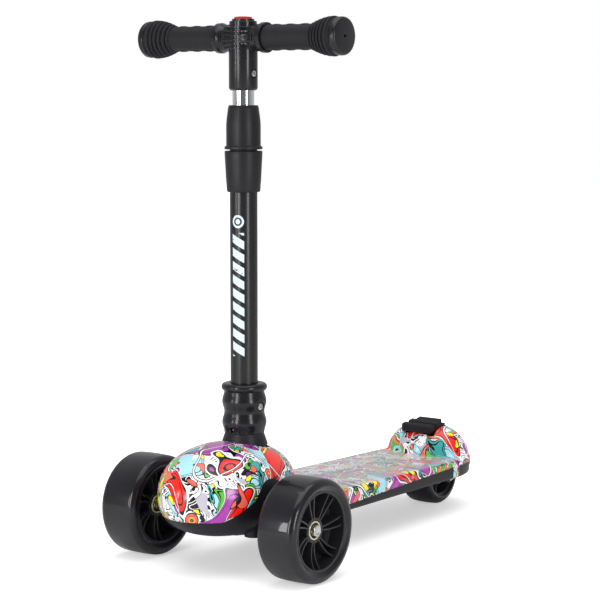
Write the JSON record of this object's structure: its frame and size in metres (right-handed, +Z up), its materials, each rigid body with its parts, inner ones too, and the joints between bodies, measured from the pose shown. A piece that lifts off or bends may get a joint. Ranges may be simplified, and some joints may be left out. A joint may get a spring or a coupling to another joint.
{
  "type": "three-wheel kids scooter",
  "caption": "Kids' lean-to-steer scooter with two wide front wheels, one rear wheel, a moulded printed deck, a foot brake and a telescopic T-bar.",
  "frame": {"origin": "on the ground, under the middle of the overall length and width", "axes": "+Z up, -Y towards the front wheels, +X to the rider's left"},
  "size_m": [0.286, 0.571, 0.6338],
  "materials": {
    "printed_shell": "gloss, printed in several colours",
    "charcoal_plastic": "satin, fine texture",
    "hub_plastic": "satin gloss",
    "inner_plastic": "matt",
    "rubber_grip": "matt",
    "cast_tyre": "gloss, smoke grey",
    "painted_tube": "gloss black",
    "chrome_tube": "polished",
    "steel": "bright zinc",
    "yellow_zinc": "yellow zinc",
    "red_plastic": "gloss crimson"
  },
  "bodies": {
    "chassis": {"deck_cover": "printed_shell", "deck_base": "charcoal_plastic", "pivot_bracket": "inner_plastic", "left_kingpin": "steel", "right_kingpin": "steel", "lean_pin": "steel", "lean_pin_nut": "steel", "left_centring_spring": "steel", "right_centring_spring": "steel", "rear_axle_bolt": "steel", "rear_axle_nut": "yellow_zinc", "rear_bearing_spacer": "yellow_zinc", "rear_sleeve_left": "yellow_zinc", "rear_sleeve_right": "yellow_zinc", "brake_pin": "steel", "brake_spring": "steel"},
    "steering_column": {"steering_head": "charcoal_plastic", "stem_socket": "charcoal_plastic", "socket_bolt": "steel", "outer_tube": "painted_tube", "lower_collar": "charcoal_plastic", "clamp_collet": "inner_plastic"},
    "twist_collar": {"twist_collar": "charcoal_plastic"},
    "t_bar": {"inner_tube": "chrome_tube", "guide_bush": "inner_plastic", "t_joint": "charcoal_plastic", "t_joint_screw": "steel", "crossbar_tube": "steel", "left_grip": "rubber_grip", "left_end_cap": "rubber_grip", "right_grip": "rubber_grip", "right_end_cap": "rubber_grip", "button_spring": "steel"},
    "height_button": {"height_button": "red_plastic", "release_rod": "steel"},
    "snap_button": {"snap_button": "steel"},
    "tie_rod": {"tie_rod": "inner_plastic"},
    "left_knuckle": {"left_knuckle": "inner_plastic", "left_axle_bolt": "steel", "left_axle_nut": "yellow_zinc", "left_bearing_spacer": "yellow_zinc"},
    "right_knuckle": {"right_knuckle": "inner_plastic", "right_axle_bolt": "steel", "right_axle_nut": "yellow_zinc", "right_bearing_spacer": "yellow_zinc"},
    "left_wheel": {"left_wheel_tyre": "cast_tyre", "left_wheel_hub": "hub_plastic", "left_wheel_bearing_a": "yellow_zinc", "left_wheel_bearing_b": "yellow_zinc"},
    "right_wheel": {"right_wheel_tyre": "cast_tyre", "right_wheel_hub": "hub_plastic", "right_wheel_bearing_a": "yellow_zinc", "right_wheel_bearing_b": "yellow_zinc"},
    "rear_wheel": {"rear_wheel_tyre": "cast_tyre", "rear_wheel_hub": "hub_plastic", "rear_wheel_bearing_a": "yellow_zinc", "rear_wheel_bearing_b": "yellow_zinc"},
    "brake_pedal": {"brake_pedal": "rubber_grip"}
  },
  "joints": [
    {"name": "lean_steer", "type": "hinge", "parent": "chassis", "child": "steering_column", "pos_m": [0, -0.1583, 0.118], "axis": [0, 1, 0], "range_deg": [-7, 7], "stiffness_Nm_per_rad": 90, "deforming": ["left_centring_spring", "right_centring_spring"]},
    {"name": "tie_rod_slide", "type": "slide", "parent": "chassis", "child": "tie_rod", "axis": [1, 0, 0], "range_m": [-0.0074, 0.0074]},
    {"name": "left_steer", "type": "hinge", "parent": "chassis", "child": "left_knuckle", "pos_m": [0.042, -0.1955, 0.06], "axis": [0, 0, 1], "range_deg": [-11.4, 11.4]},
    {"name": "right_steer", "type": "hinge", "parent": "chassis", "child": "right_knuckle", "pos_m": [-0.042, -0.1955, 0.06], "axis": [0, 0, 1], "range_deg": [-11.4, 11.4]},
    {"name": "left_wheel_spin", "type": "hinge", "parent": "left_knuckle", "child": "left_wheel", "pos_m": [0.11575, -0.1955, 0.06], "axis": [1, 0, 0], "continuous": true},
    {"name": "right_wheel_spin", "type": "hinge", "parent": "right_knuckle", "child": "right_wheel", "pos_m": [-0.11575, -0.1955, 0.06], "axis": [1, 0, 0], "continuous": true},
    {"name": "rear_wheel_spin", "type": "hinge", "parent": "chassis", "child": "rear_wheel", "pos_m": [0, 0.2415, 0.04], "axis": [1, 0, 0], "continuous": true},
    {"name": "brake_press", "type": "hinge", "parent": "chassis", "child": "brake_pedal", "pos_m": [0, 0.1985, 0.06], "axis": [-1, 0, 0], "range_deg": [0, 3.2], "stiffness_Nm_per_rad": 8, "springref_deg": -5.73},
    {"name": "collar_twist", "type": "hinge", "parent": "steering_column", "child": "twist_collar", "pos_m": [0, -0.1583, 0.5], "axis": [0, 0, 1], "range_deg": [0, 90]},
    {"name": "bar_height", "type": "slide", "parent": "steering_column", "child": "t_bar", "axis": [0, 0, 1], "range_m": [0, 0.2]},
    {"name": "height_button_press", "type": "slide", "parent": "t_bar", "child": "height_button", "axis": [0, 0, -1], "range_m": [0, 0.0028], "stiffness_N_per_m": 800, "springref_m": -0.004, "deforming": ["button_spring"]},
    {"name": "snap_button_press", "type": "slide", "parent": "steering_column", "child": "snap_button", "axis": [0, 1, 0], "range_m": [0, 0.0034], "stiffness_N_per_m": 600, "springref_m": -0.003}
  ],
  "couplings": [
    {"joint": "tie_rod_slide", "follows": "lean_steer", "m_per_rad": -0.0597},
    {"joint": "left_steer", "follows": "lean_steer", "ratio": 1.61},
    {"joint": "right_steer", "follows": "lean_steer", "ratio": 1.61}
  ]
}
